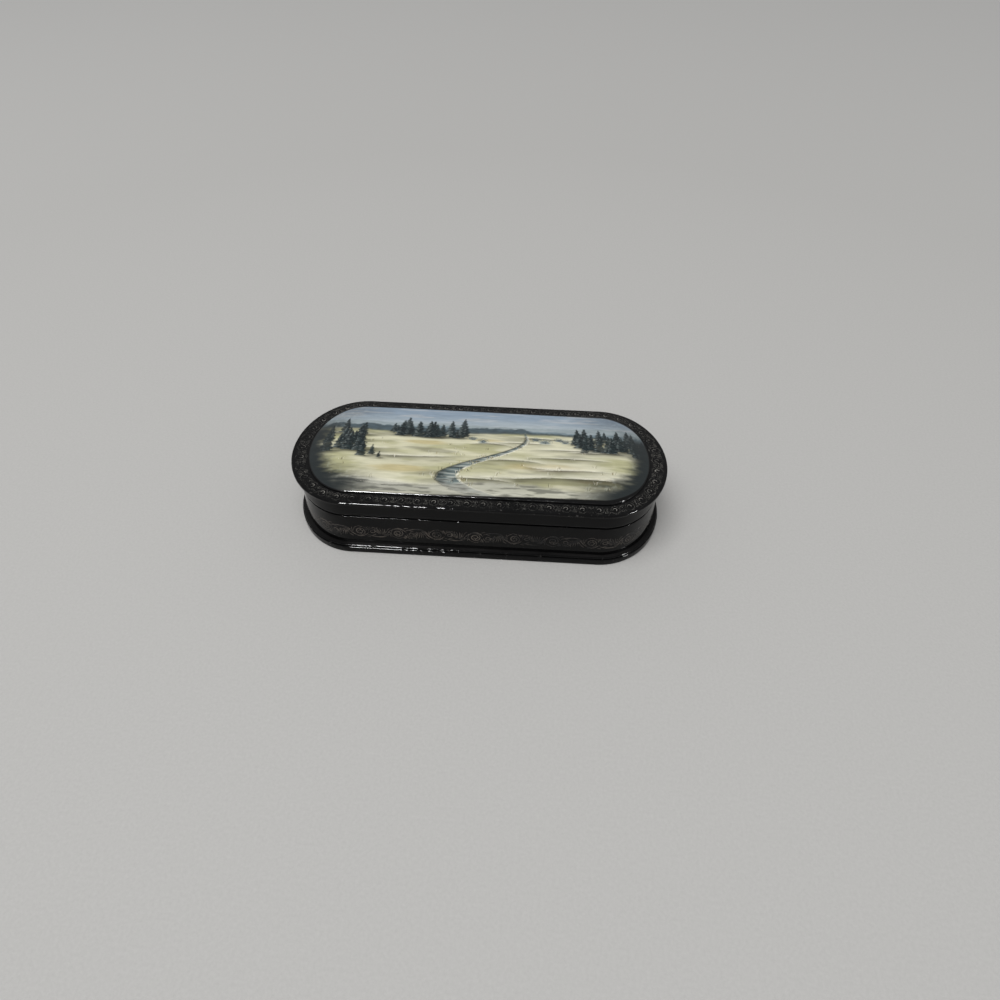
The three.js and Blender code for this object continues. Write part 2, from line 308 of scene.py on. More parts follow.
def piece_points(piece):
    """The points of a piece as an array."""
    mesh = piece.data
    flat = np.empty(len(mesh.vertices) * 3)
    mesh.vertices.foreach_get("co", flat)
    return flat.reshape(-1, 3)


def set_attribute(mesh, name, values):
    """Stores one number or one colour for each point of a mesh."""
    if values.ndim == 1:
        store = mesh.attributes.new(name, "FLOAT", "POINT")
        store.data.foreach_set("value", values.astype(np.float32))
    else:
        rgba = np.ones((len(values), 4), np.float32)
        rgba[:, :3] = values
        store = mesh.attributes.new(name, "FLOAT_COLOR", "POINT")
        store.data.foreach_set("color", rgba.ravel())


def settle(piece, body, slot, *nodes):
    """Rides a piece on its body and hides the nodes it stands for. The slot, a finish name, is not used.
    """
    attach(piece, body)
    if nodes:
        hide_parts(*nodes)


class Finish:
    """A material with its shader and short ways to add nodes."""

    def __init__(self, name):
        self.material = bpy.data.materials.new(name)
        self.material.use_nodes = True
        self.tree = self.material.node_tree
        self.shader = self.tree.nodes["Principled BSDF"]
        place = self.tree.nodes.new("ShaderNodeTexCoord")
        self.place = place.outputs["Object"]

    def node(self, kind, values=None, links=None, **settings):
        """A new node with values on its inputs, links into them and its own settings."""
        made = self.tree.nodes.new(kind)
        for key, value in settings.items():
            setattr(made, key, value)
        for key, value in (values or {}).items():
            made.inputs[key].default_value = value
        for key, source in (links or {}).items():
            self.tree.links.new(source, made.inputs[key])
        return made

    def noise(self, scale, detail=4.0, roughness=0.55, stretch=None):
        """Cloudy noise over the object, drawn out where a stretch says so."""
        source = self.place
        if stretch:
            mapping = self.node("ShaderNodeMapping", {"Scale": stretch}, {"Vector": source})
            source = mapping.outputs["Vector"]
        values = {"Scale": scale, "Detail": detail, "Roughness": roughness}
        return self.node("ShaderNodeTexNoise", values, {"Vector": source}).outputs["Fac"]

    def span(self, source, low_in, high_in, low_out, high_out):
        """A value moved from one range to another, and held at its ends."""
        names = ("From Min", "From Max", "To Min", "To Max")
        values = dict(zip(names, (low_in, high_in, low_out, high_out)))
        return self.node("ShaderNodeMapRange", values, {"Value": source}).outputs["Result"]

    def maths(self, operation, first, second):
        """Two values put together by an operation."""
        return self.node("ShaderNodeMath", None, {0: first, 1: second}, operation=operation).outputs[0]

    def times(self, first, second):
        """One value times another."""
        return self.maths("MULTIPLY", first, second)

    def plus(self, first, second):
        """The sum of two values."""
        return self.maths("ADD", first, second)

    def blend(self, factor, first, second):
        """A colour mix. Each side is a colour or a socket."""
        made = self.node("ShaderNodeMix", data_type="RGBA")
        self.tree.links.new(factor, made.inputs["Factor"])
        for socket, side in ((made.inputs[6], first), (made.inputs[7], second)):
            self.put(socket, side if isinstance(side, bpy.types.NodeSocket) else (*side, 1.0))
        return made.outputs[2]

    def put(self, socket, source):
        """Links a socket to its source, or sets a plain value on it."""
        if isinstance(source, bpy.types.NodeSocket):
            self.tree.links.new(source, socket)
        else:
            socket.default_value = source

    def attribute(self, name, output):
        """A value or colour that the mesh stores for each point."""
        return self.node("ShaderNodeAttribute", attribute_name=name).outputs[output]

    def bump(self, height, strength, depth):
        """Small relief in the shading."""
        values = {"Strength": strength, "Distance": depth}
        made = self.node("ShaderNodeBump", values, {"Height": height})
        self.tree.links.new(made.outputs["Normal"], self.shader.inputs["Normal"])

    def feed(self, **sources):
        """Gives the shader its inputs by name, each a value or a socket."""
        for name, source in sources.items():
            self.put(self.shader.inputs[name.replace("_", " ")], source)


def scaled(tint, share):
    """A colour made darker: each of its parts times the share."""
    return tuple(share * value for value in tint)


def black_lacquer(name, ground, haze, scuff, polish, specular):
    """Black lacquer: faint cloudy haze, soft polishing waves and rubbed edges."""
    finish = Finish("case " + name)
    cloud = finish.noise(55, 5, 0.6)
    chip = finish.noise(520, 5, 0.7)
    rubbed = finish.times(finish.attribute("scuff", "Fac"), finish.span(chip, 0.60, 0.68, 0, 1))
    hazy = finish.blend(finish.span(cloud, 0.35, 0.75, 0, 1), ground, haze)
    dulled, ripple = worn_gloss(finish)
    finish.feed(
        Base_Color=finish.blend(rubbed, hazy, scuff),
        Roughness=finish.plus(finish.span(cloud, 0.3, 0.75, polish, polish + 0.03), dulled),
        Specular_IOR_Level=specular,
    )
    grain = finish.span(finish.noise(1400, 3, 0.6), 0, 1, 0, 0.06)
    wave = finish.plus(finish.noise(120, 2, 0.5), grain)
    finish.bump(finish.plus(wave, ripple), strength=0.10, depth=0.0004)
    return finish.material


def worn_gloss(finish):
    """Roughness and ripple of worn edges, in patches where the dull attribute is set."""
    worn = finish.attribute("dull", "Fac")
    dulled = finish.times(worn, finish.span(finish.noise(210, 4, 0.6), 0.46, 0.54, 0, 0.04))
    ripple = finish.times(worn, finish.span(finish.noise(190, 1.5, 0.5), 0, 1, -6, 6))
    return dulled, ripple


def red_lacquer(colours):
    """Cinnabar lacquer of the inside, a little darker in clouds, with a soft gloss."""
    finish = Finish("case red")
    cloud = finish.span(finish.noise(70, 5, 0.6), 0.3, 0.75, 0, 1)
    finish.feed(
        Base_Color=finish.blend(cloud, colours.red, scaled(colours.red, 0.8)),
        Roughness=finish.span(finish.noise(160, 4), 0.3, 0.8, 0.14, 0.3),
        Specular_IOR_Level=0.45,
    )
    finish.bump(finish.noise(240, 3), strength=0.12, depth=0.0003)
    return finish.material


def old_brass(colours):
    """Worn brass with brown tarnish in clouds and fine drawn lines along the hinge."""
    finish = Finish("case brass")
    tarnish = finish.span(finish.noise(330, 5, 0.65), 0.42, 0.72, 0, 1)
    drawn = finish.noise(900, 3, 0.5, stretch=(0.06, 1.0, 1.0))
    finish.feed(
        Base_Color=finish.blend(tarnish, colours.brass, scaled(colours.brass, 0.42)),
        Metallic=1.0,
        Roughness=finish.span(tarnish, 0, 1, 0.26, 0.5),
    )
    finish.bump(drawn, strength=0.15, depth=0.0002)
    return finish.material


def gilt(name, tint, ground, worn_low, worn_high):
    """Powdered-metal paint in fine lines, rubbed thin in places so that the black shows."""
    finish = Finish("case " + name)
    worn = finish.span(finish.noise(260, 5, 0.7), worn_low, worn_high, 0, 1)
    faded = finish.span(finish.noise(34, 2, 0.5), 0.48, 0.66, 0, 0.5)
    finish.feed(
        Base_Color=finish.blend(finish.plus(worn, faded), tint, ground),
        Metallic=0.25,
        Roughness=finish.span(finish.noise(900, 3), 0.3, 0.7, 0.35, 0.6),
        Specular_IOR_Level=0.4,
    )
    return finish.material


def painted_lacquer():
    """Tempera colours of the panel under clear lacquer, with the drag of a fine brush."""
    finish = Finish("case paint")
    paint = finish.attribute("paint", "Color")
    drag = finish.noise(900, 4, 0.6, stretch=(0.16, 1.0, 1.0))
    speck = finish.noise(2600, 2, 0.5)
    darker = finish.node("ShaderNodeHueSaturation", {"Value": 0.9}, {"Color": paint})
    lighter = finish.node("ShaderNodeHueSaturation", {"Value": 1.08}, {"Color": paint})
    stroke = finish.blend(
        finish.span(drag, 0.34, 0.68, 0, 1), darker.outputs["Color"], lighter.outputs["Color"]
    )
    dulled, ripple = worn_gloss(finish)
    finish.feed(
        Base_Color=finish.blend(finish.span(speck, 0.62, 0.85, 0, 0.35), stroke, paint),
        Roughness=finish.plus(finish.span(finish.noise(60, 4), 0.3, 0.75, 0.1, 0.2), dulled),
        Specular_IOR_Level=0.22,
    )
    relief = finish.plus(finish.span(drag, 0, 1, 0, 0.3), ripple)
    finish.bump(relief, strength=0.1, depth=0.0003)
    return finish.material


def finishes(context):
    """The finishes by name, each made once."""
    colours = context.scene.case_colours
    black, haze, scuff, dust = colours.black, colours.haze, colours.scuff, colours.dust
    dark_dust = scaled(dust, 0.4)
    makers = {
        "black": lambda: black_lacquer("black", black, haze, scuff, polish=0.03, specular=0.15),
        "dusty": lambda: black_lacquer("dusty", dark_dust, dust, scuff, polish=0.36, specular=0.05),
        "red": lambda: red_lacquer(colours),
        "brass": lambda: old_brass(colours),
        "filigree": lambda: gilt("filigree", colours.filigree, haze, worn_low=0.45, worn_high=0.62),
        "scroll": lambda: gilt("scroll", colours.scroll, haze, worn_low=0.40, worn_high=0.66),
        "paint": painted_lacquer,
    }
    made = bpy.data.materials
    return {name: made.get("case " + name) or make() for name, make in makers.items()}


def edge_wear(piece, edges, width, scuff=1.0, dull=1.0):
    """Scuffs and dulled gloss near (offset, height) edges: most on the edge, less with distance."""
    points = piece_points(piece)
    sizes = bpy.context.scene.case_sizes
    past = np.maximum(np.abs(points[:, 0]) - half_straight(sizes), 0)
    out = np.hypot(past * LID_HALF_WIDTH / sizes.end_depth, points[:, 1]) - LID_HALF_WIDTH
    near = np.zeros(len(points))
    for offset, height in edges:
        away = np.hypot(out - offset, points[:, 2] - height)
        near = np.maximum(near, np.clip(1.2 - away / width, 0, 1))
    set_attribute(piece.data, "scuff", scuff * near)
    set_attribute(piece.data, "dull", dull * near)


def hinge_groove(sizes, away, side):
    """Height of the hinge's round groove: the axis, plus (1) or less (-1) the circle's rise there."""
    return HINGE_AXIS.z + side * np.sqrt(np.maximum(sizes.groove_radius**2 - away**2, 0))


class CASE_OT_foot(bpy.types.Operator):
    """Foot plate with its rounded edge, and the floor plate with its bead and red inside"""

    bl_idname = "eyeglass_case.foot"
    bl_label = "Foot and Floor"

    def execute(self, context):
        sizes, finish = context.scene.case_sizes, finishes(context)
        path = even_path(sizes, end_steps=72)
        out, top, ease = inset("foot_plate"), high("foot_plate"), sizes.foot_ease
        curve = sizes.foot_round
        lower = arc(out - ease, ease, ease, -90, 0, 4)
        upper = arc(out - curve, top - curve, curve, 0, 90, 9)
        points = self.plate(sizes, path, np.concatenate([lower, upper]))
        foot = swept_piece("foot", points, [finish["black"]], ring=False)
        shoulder = (out - 0.5 * curve, top - 0.13 * curve)
        edge_wear(foot, [shoulder, (out, top - curve)], width=1.1 * MM, scuff=0.6, dull=0.8)
        settle(foot, "base", "black_lacquer", "foot_plate")

        bottom, top = low("floor_plate"), high("floor_plate")
        radius = (top - bottom) / 2
        middle = inset("floor_plate") - radius
        bead = arc(middle, bottom + radius, radius, -90, 90, 14)
        inside = inset("base_wall") - sizes.wall_thickness
        ledge = [(inset("base_wall"), top), (inside, top)]
        points = self.plate(sizes, path, np.concatenate([bead, ledge]))
        bands = np.zeros(len(points) - 1, int)
        bands[-FACE_ROWS - len(ledge) : -FACE_ROWS] = 1
        bands[-FACE_ROWS:] = 2
        materials = [finish["black"], finish["dusty"], finish["red"]]
        floor = swept_piece("floor", points, materials, ring=False, row_material=bands)
        edge_wear(floor, [(inset("floor_plate"), bottom + radius)], width=0.7 * MM, scuff=0.4, dull=1.4)
        settle(floor, "base", "red_lacquer", "floor_plate")
        return {"FINISHED"}

    @staticmethod
    def plate(sizes, path, edge):
        """An edge profile with flat faces under and over it, drawn in to the spine."""
        shares = np.linspace(0, 1, FACE_ROWS + 1)[:-1]
        under = np.repeat(edge[:1], len(shares), axis=0)
        above = np.repeat(edge[-1:], len(shares), axis=0)
        profile = np.concatenate([under, edge, above])
        share = np.concatenate([shares, np.ones(len(edge)), shares[::-1]])
        return carried(sizes, path, profile, share)


class CASE_OT_walls(bpy.types.Operator):
    """Base wall with its hinge groove, and the inner collar"""

    bl_idname = "eyeglass_case.walls"
    bl_label = "Wall and Collar"

    def execute(self, context):
        sizes, finish = context.scene.case_sizes, finishes(context)
        path, at_hinge = hinge_path(sizes)
        out, bottom, top = inset("base_wall"), low("base_wall"), high("base_wall")
        inner, ease = out - sizes.wall_thickness, sizes.wall_ease
        # Rows lie close together from the fine line to the seat, where the hinge's groove cuts them
        fine, seat = top - 2.4 * MM, out - 2.2 * MM
        profile = np.concatenate(
            [
                line((out, bottom), (out, fine), 6)[:-1],
                line((out, fine), (out, top - ease), 12)[:-1],
                arc(out - ease, top - ease, ease, 0, 90, 5),
                line((out - ease, top), (seat, top), 20)[1:],
                line((inner, top), (inner, bottom)),
            ]
        )
        points = carried(sizes, path, profile)
        away = points[..., 1] - HINGE_AXIS.y
        groove = hinge_groove(sizes, away, -1)
        cut = at_hinge & (np.abs(away) < sizes.groove_radius) & (points[..., 2] > groove)
        points[..., 2] = np.where(cut, groove, points[..., 2])
        wall = swept_piece("wall", points, [finish["black"]], ring=True)
        edge_wear(wall, [(out, top)], width=0.9 * MM, scuff=0.2, dull=1.2)
        settle(wall, "base", "black_lacquer", "base_wall")

        out, top = inset("base_collar"), high("base_collar")
        inner, bottom = out - sizes.collar_thickness, low("base_collar")
        ease = sizes.collar_ease
        profile = np.concatenate(
            [
                line((out, bottom), (out, top - ease), 2)[:-1],
                arc(out - ease, top - ease, ease, 0, 90, 5),
                arc(inner + ease, top - ease, ease, 90, 180, 5),
                line((inner, top - ease), (inner, bottom), 2)[1:],
            ]
        )
        points = carried(sizes, even_path(sizes), profile)
        collar = swept_piece("collar", points, [finish["red"]], ring=True)
        settle(collar, "base", "red_lacquer", "base_collar")
        return {"FINISHED"}


class CASE_OT_lid(bpy.types.Operator):
    """Lid rim with its groove and relieved back edge, and the border plate"""

    bl_idname = "eyeglass_case.lid"
    bl_label = "Lid Rim and Border"

    def execute(self, context):
        sizes, finish = context.scene.case_sizes, finishes(context)
        materials = [finish["black"], finish["red"]]
        path, at_hinge = hinge_path(sizes)
        out, bottom, top = inset("lid_rim"), low("lid_rim"), high("lid_rim")
        inner, ease = inset("base_collar") + sizes.rim_clearance, sizes.rim_ease
        under = line((inner, bottom), (out - ease, bottom), 40)
        side = line((out, bottom + ease), (out, top), 14)
        profile = np.concatenate(
            [under[:-1], arc(out - ease, bottom + ease, ease, -90, 0, 6), side[1:], [(inner, top)]]
        )
        points = carried(sizes, path, profile)
        away = points[..., 1] - HINGE_AXIS.y
        stop = radians(HINGE["range_deg"][1] - 90)
        seam = bottom - high("base_wall")
        relief = HINGE_AXIS.z + seam + away * np.tan(stop)
        groove = hinge_groove(sizes, away, 1)
        cut = at_hinge & (np.abs(away) < sizes.groove_radius)
        lift = np.where(cut, np.maximum(groove, relief), relief)
        points[..., 2] = np.maximum(points[..., 2], lift)
        # The last band is the rim's inner face
        bands = np.zeros(len(profile), int)
        bands[-1] = 1
        rim = swept_piece("rim", points, materials, ring=True, row_material=bands)
        edge_wear(rim, [(out, bottom)], width=1.1 * MM, scuff=0.3)
        settle(rim, "lid", "black_lacquer", "lid_rim")

        bottom, border = low("lid_plate"), high("lid_plate")
        top, curve, ease = bottom + sizes.plate_thickness, sizes.plate_round, sizes.plate_ease
        ledge, edge = border - sizes.ledge_depth, -sizes.border_width
        seat = edge - sizes.ledge_width
        lower = arc(-ease, bottom + ease, ease, -90, 0, 5)
        upper = arc(-curve, top - curve, curve, 0, 90, 9)[:-1]
        slope = line((-curve, top), (edge, border), 8)
        inside = [(edge, ledge), (seat, ledge), (seat, bottom)]
        profile = np.concatenate([lower, upper, slope, inside, [(inner, bottom)]])
        outer, sloped = np.zeros(len(lower) + len(upper)), np.linspace(0, 1, len(slope))
        fit = np.concatenate([outer, sloped, np.ones(len(inside)), [0]])
        ends_in = end_inset("lid_panel") * fit
        points = carried(sizes, even_path(sizes), profile, ends_in=ends_in)
        # Two bands face the inside: the seat's edge and the plate's underside within the rim
        bands = np.zeros(len(profile), int)
        bands[-3:-1] = 1
        border_plate = swept_piece("border", points, materials, ring=True, row_material=bands)
        edges = [(0, top - curve), (-0.3 * curve, top)]
        edge_wear(border_plate, edges, width=1.0 * MM, scuff=0.6, dull=1.2)
        settle(border_plate, "lid", "black_lacquer", "lid_plate")
        return {"FINISHED"}


def smooth(low_edge, high_edge, value):
    """0 below the low edge, 1 above the high edge and an S-curve between."""
    part = np.clip((value - low_edge) / (high_edge - low_edge), 0, 1)
    return part * part * (3 - 2 * part)


def lattice(i, j, seed):
    """A fixed scrambled number from 0 to 1 for each whole-number place."""
    mixed = (i * 374761393 + j * 668265263 + seed * 1442695041) & 0xFFFFFFFF
    mixed = ((mixed ^ (mixed >> 13)) * 1274126177) & 0xFFFFFFFF
    return ((mixed ^ (mixed >> 16)) & 0xFFFF) / 65535.0


def mottle(x, y, seed, octaves=4):
    """Cloudy noise from 0 to 1: scrambled lattices, each half as large and half as strong."""
    total, weight = 0.0, 0.0
    for octave in range(octaves):
        i, j = np.floor(x).astype(np.int64), np.floor(y).astype(np.int64)
        u, v = smooth(0, 1, x - i), smooth(0, 1, y - j)
        near = lattice(i, j, seed) * (1 - u) + lattice(i + 1, j, seed) * u
        far = lattice(i, j + 1, seed) * (1 - u) + lattice(i + 1, j + 1, seed) * u
        total = total + (near * (1 - v) + far * v) * 0.5**octave
        weight += 0.5**octave
        x, y, seed = 2.03 * x + 17.1, 2.03 * y + 5.3, seed + 101
    return total / weight


def clouded(x, y, wide, tall, seed, start, full, octaves=4):
    """Cloudy patches of a size: noise that is 0 up to its start level and 1 from its full level."""
    return smooth(start, full, mottle(x / wide, y / tall, seed, octaves))


def over(ground, tint, cover):
    """Paint over a ground: the ground moved towards the tint by the cover at each point."""
    ground = np.asarray(ground)
    return ground + (np.asarray(tint) - ground) * np.asarray(cover)[..., None]


def fir_rows():
    """Firs as rows of (x, foot, height), in millimetres, far ones first."""
    pick = np.random.default_rng(11)

    def stand(count, left, right, near, far, short, tall):
        spread = [pick.uniform(*ends, count) for ends in ((left, right), (near, far), (short, tall))]
        return np.stack(spread, axis=1)

    wood = stand(30, -40, -6, 5.5, 9, 6, 13)
    copse = stand(34, 42, 72, -1, 8, 6, 13)
    edge = stand(14, -69, -50, -6, 7, 8, 15)
    near = np.array([[-51, -8.5, 10], [-46.5, -7.5, 6.5], [-43, -9.2, 4]])
    rows = np.concatenate([wood, copse, edge, near])
    return rows[np.argsort(-rows[:, 1])]


def field_edge(x):
    """Where the snow field ends at the far side: a slow wave with a ragged edge."""
    return 10.2 + 1.3 * np.sin(x / 17) + 0.9 * mottle(x / 6, 0 * x, 31)


def stream(y):
    """Middle and half width of the stream: it swings more and widens as it comes forward."""
    down = np.clip((10.4 - y) / 36, 0, 1)
    return 11 + 30 * np.sin((y + 3.0) / 8.6) * (0.30 + 0.62 * down), 0.45 + 5.6 * down**1.4


def shrub_rows():
    """Low shrubs along the far bank as rows of (x, foot, half width), in millimetres."""
    return np.array(
        [[-3, 5.2, 2.2], [1.5, 3.4, 3.0], [25, 6.4, 2.4], [29, 4.8, 3.6], [35, 6.8, 2.2], [38, 5.4, 2.8]]
    )


def shrubs(colour, x, y, tints):
    """Soft domes of twigs over a ground, darker at the foot and to the right."""
    for place, foot, wide in shrub_rows():
        across, rise = (x - place) / wide, (y - foot) / (1.05 * wide)
        away = np.hypot(across, np.maximum(rise, -0.3) + 0.1) + 0.5 * mottle(x / 0.6, y / 0.6, 77)
        twigs = over(tints.hills, tints.frost, 0.5 * smooth(0.2, 0.9, rise - 0.4 * across))
        colour = over(colour, twigs, 0.85 * smooth(1.15, 0.6, away) * smooth(-0.25, 0.1, rise))
    return colour


def drift_rows():
    """Snow drifts as rows of (x, y, half length, slope, swell), in millimetres."""
    pick = np.random.default_rng(23)
    count = 19
    y = np.linspace(8, -25.5, count) + pick.uniform(-0.6, 0.6, count)
    near = (10 - y) / 36
    return np.stack(
        [
            pick.uniform(-60, 60, count),
            y,
            pick.uniform(11, 27, count) * (0.6 + 0.6 * near),
            pick.normal(0, 0.025, count),
            pick.uniform(-1.6, 2.2, count) * (0.4 + near),
        ],
        axis=1,
    )


def sky_and_hills(x, y, tints):
    """Sky from low to high, streaked with cloud, behind two ranges of wooded hills."""
    rise = np.clip((y - 9) / 17, 0, 1)
    rise = smooth(0, 1, rise + 0.4 * (mottle(x / 22, y / 4, 5) - 0.5))
    colour = over(tints.sky_low, tints.sky_high, rise)
    colour = over(colour, tints.cloud, 0.55 * clouded(x, y, 15, 1.8, 8, 0.55, 0.72))
    for level, swell, seed, depth in ((14.0, 4.2, 21, 0.45), (11.2, 3.6, 26, 0.85)):
        ridge = level + swell * mottle(x / 17, 0 * x + 2.5, seed, 3)
        ridge = ridge + 0.8 * mottle(x / 1.7, y / 3, seed + 1, 2)
        cover = depth * (0.7 + 0.5 * mottle(x / 3, y / 1.5, seed + 2))
        hill = over(tints.sky_low, tints.hills, cover)
        colour = over(colour, hill, smooth(0.3, -0.3, y - ridge))
    return colour


def grass_patches():
    """Patches of dry grass as rows of (x, y, half length, half width), in millimetres."""
    return (30, -11, 20, 3.0), (-34, -15, 15, 2.6), (52, -17, 10, 2.2), (-24, 2, 11, 1.8), (4, 5, 9, 1.2)


def snow_field(x, y, tints):
    """Cream snow with warm patches, dry grass and long drifts, each dark below a light crest."""
    snow = over(tints.snow, tints.field, clouded(x, y, 20, 4.5, 33, 0.36, 0.66))
    snow = over(snow, tints.shadow, 0.42 * clouded(x, y, 19, 3.2, 35, 0.52, 0.78, 3))
    drag = mottle(x / 9, y / 1.3, 3)
    for place, level, wide, deep in grass_patches():
        patch = np.exp(-(((x - place) / wide) ** 2) - ((y - level) / deep) ** 2)
        snow = over(snow, tints.ochre, 0.8 * smooth(0.25, 0.85, patch * (0.55 + 0.9 * drag)))
    for place, level, wide, slope, swell in drift_rows():
        along = (x - place) / wide
        crest = level + slope * (x - place) + swell * (1 - along**2)
        below = (crest - y) / (0.75 + 0.06 * (10 - level))
        reach_along = np.clip(1 - along**2, 0, 1) ** 0.7
        snow = over(snow, tints.shadow, 0.88 * reach_along * np.exp(-below) * smooth(-0.2, 0.2, below))
        snow = over(snow, tints.light, 0.55 * reach_along * np.exp(1.3 * below) * (below <= 0))
    return snow


def ice_and_banks(colour, x, y, tints):
    """The frozen stream over the field: dark ice with pale streaks, a dark bank and a light one."""
    inside = smooth(0.35, -0.35, y - field_edge(x))
    middle, half = stream(y)
    side = (x - middle) / half + 0.25 * (mottle(x / 3.5, y / 0.9, 51) - 0.5)
    ice = over(tints.ice, tints.pale_ice, 0.8 * clouded(x, y, 7, 0.7, 53, 0.47, 0.66))
    ice = over(ice, tints.fir, 0.7 * clouded(x, y, 5, 0.6, 54, 0.5, 0.68))
    ice = over(ice, tints.fir, 0.55 * smooth(0.2, -0.9, side))
    colour = over(colour, ice, smooth(1.0, 0.88, np.abs(side)) * inside)
    bank = np.exp(-(((np.abs(side) - 1.03) * half / 0.5) ** 2)) * inside * smooth(10.5, 7.5, y)
    colour = over(colour, tints.bank, 0.85 * bank * (side < 0))
    lit = bank * (side > 0) * clouded(x, y, 2.5, 1.2, 57, 0.3, 0.62)
    return over(colour, tints.light, 0.9 * lit)


def firs(colour, x, y, tints):
    """Firs over a ground: dark tapering masses with frost to the left and shade at the foot."""
    for place, foot, tall in fir_rows():
        rise = (y - foot) / tall
        boughs = 0.62 + 0.38 * np.abs(((rise * 5.5 + 0.25 * np.sign(x - place)) % 1.0) * 2 - 1)
        rough = 0.75 + 0.5 * mottle(x / 0.55, y / 0.55, int(61 + abs(place) * 7), 2)
        wide = 0.30 * tall * np.clip(1 - rise, 0, 1) ** 0.85 * boughs * rough + 0.08
        within = (rise > 0) & (rise < 1)
        across = (x - place) / np.where(within, wide, 1)
        shade = over(tints.fir, tints.bough, clouded(x, y, 0.7, 0.5, 71, 0.4, 0.7))
        frosted = smooth(0.5, 0.66, mottle(x / 0.8 + 9, y / 0.45, 73)) * smooth(0.1, -0.7, across)
        shade = over(shade, tints.frost, 0.4 * frosted)
        cast = np.exp(-(((y - foot + 0.3) / 0.6) ** 2) - ((x - place - 0.2 * tall) / (0.42 * tall)) ** 2)
        colour = over(colour, tints.shadow, 0.75 * cast * (y < foot + 0.4))
        colour = over(colour, shade, 0.94 * within * smooth(1.05, 0.8, np.abs(across)))
    return colour


def landscape(x, y, tints):
    """A winter stream between firs, painted in layers over a panel in millimetres.

    Each layer is a mask worked out from x and y, with cloudy noise for the drag of the brush. The
    front edge turns to grey shade, and the ends fade to slate.
    """
    colour = sky_and_hills(x, y, tints)
    edge = field_edge(x)
    colour = over(colour, snow_field(x, y, tints), smooth(0.35, -0.35, y - edge))
    tall = 5.2 * mottle(x / 8, 0 * x + 7, 41, 4) * clouded(x, 0 * x, 30, 1, 42, 0.3, 0.55, 2)
    tops = edge + tall + 0.9 * mottle(x / 0.9, y / 0.9, 43, 2)
    scrub = smooth(0.5, -0.5, y - tops) * smooth(-0.9, 0.3, y - edge + 0.8)
    wood = over(tints.hills, tints.fir, 0.35 + 0.55 * mottle(x / 2, y / 1.1, 44))
    colour = over(colour, wood, 0.9 * scrub)
    colour = ice_and_banks(colour, x, y, tints)
    colour = firs(shrubs(colour, x, y, tints), x, y, tints)

    drift = -21.5 + 1.5 * np.sin(x / 11 + 0.6) + 1.2 * mottle(x / 5, 0 * x, 81)
    front = smooth(0.5, -2.2, y - drift)
    colour = over(colour, tints.front_snow, 0.7 * front)
    colour = over(colour, tints.front_shade, 0.7 * front * clouded(x, y, 7, 0.9, 83, 0.48, 0.66))

    fade = end_fade(x, y, 8 * (mottle(x / 6, y / 1.4, 91) - 0.5))
    frosty = clouded(x, y, 1.1, 1.1, 93, 0.55, 0.75) * smooth(0.98, 0.4, fade)
    dark = over(tints.slate, tints.frost, 0.35 * frosty)
    return np.clip(over(colour, dark, fade), 0, 1)


def from_edge(share):
    """About how many millimetres a point lies in from the panel's edge, from its share of the way."""
    return 29 * (1 - share)


def end_fade(x, y, ragged):
    """Dark fade at the rounded ends: it grows over the last millimetres before the panel's edge."""
    sizes = bpy.context.scene.case_sizes
    _, share = dome(sizes, x * MM, y * MM)
    inner, outer = np.where(x > 0, 16, 15), np.where(x > 0, 2.5, 2.0)
    fade = smooth(inner, outer, from_edge(share) + ragged) * smooth(36, 62, np.abs(x))
    return (1 - (1 - fade) ** 1.5) * (1 - 0.6 * smooth(8, 17, y))


def panel_level():
    """Height of the panel's edge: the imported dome's top less its rise up to its topmost ring."""
    return high("lid_panel") - PACKED_CROWN * (1 - PACKED_TOP_SHARE**2)


def dome(sizes, x, y):
    """Height of the panel's dome: the edge plus the crown times one less the square of the share.

    The share is how far a point lies from the spine towards the panel's edge.
    """
    edge = inset("lid_panel") - sizes.panel_round
    past = np.maximum(np.abs(x) - half_straight(sizes), 0)
    depth = sizes.end_depth + edge - end_inset("lid_panel")
    share = np.hypot(past / depth, y / (LID_HALF_WIDTH + edge))
    return panel_level() + sizes.panel_crown * (1 - share**2), share


